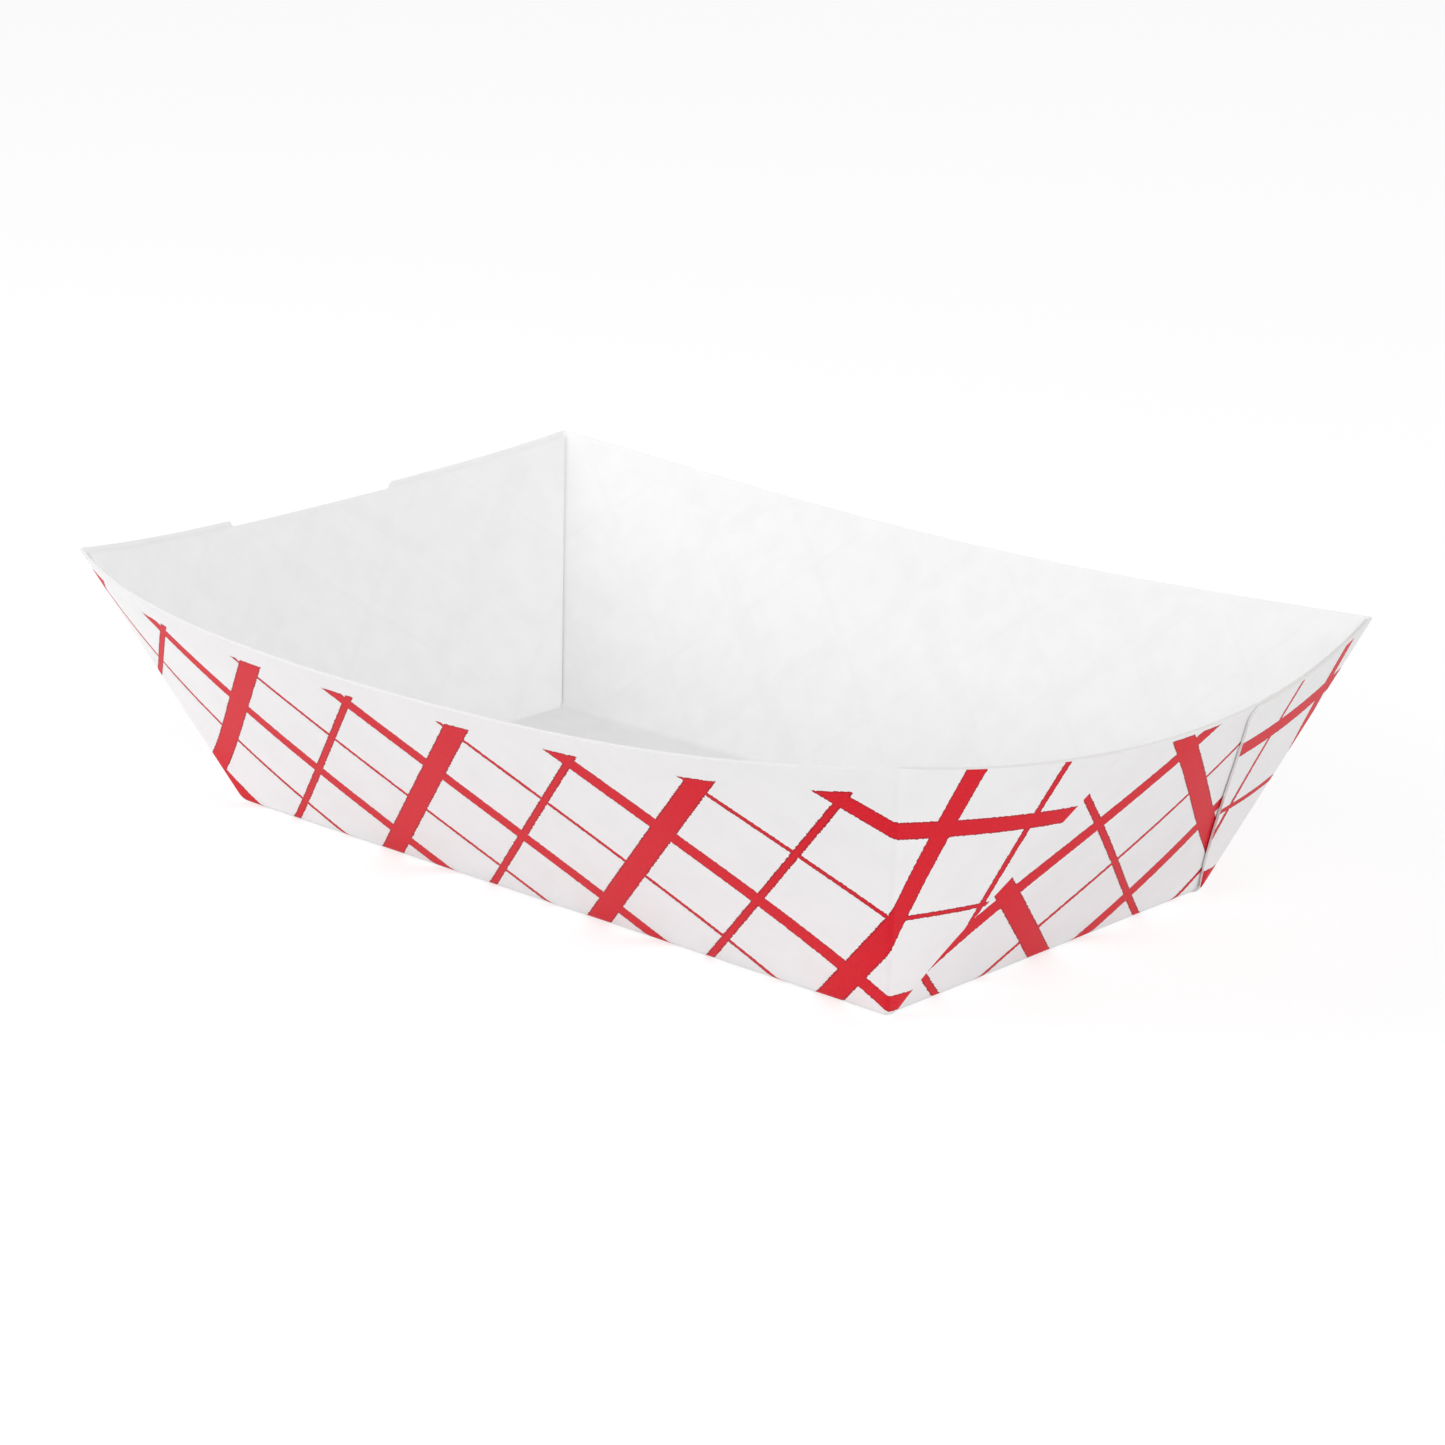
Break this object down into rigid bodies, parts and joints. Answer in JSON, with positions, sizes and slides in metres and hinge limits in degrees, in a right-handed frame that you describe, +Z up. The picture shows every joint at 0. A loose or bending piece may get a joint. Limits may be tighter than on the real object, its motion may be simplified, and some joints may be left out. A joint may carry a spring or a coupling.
{
  "type": "paper food tray",
  "caption": "Open tray folded from one sheet of paperboard, with four flared walls and corner flaps glued outside the end walls.",
  "frame": {"origin": "centre of the base's underside", "axes": "+X along the tray's long side, +Y across it, +Z up"},
  "size_m": [0.2262, 0.1507, 0.0539],
  "materials": {
    "coated_board": "white coated paperboard with a low sheen, printed outside with a red check"
  },
  "bodies": {
    "root": {"folded_tray": "coated_board"}
  },
  "joints": []
}
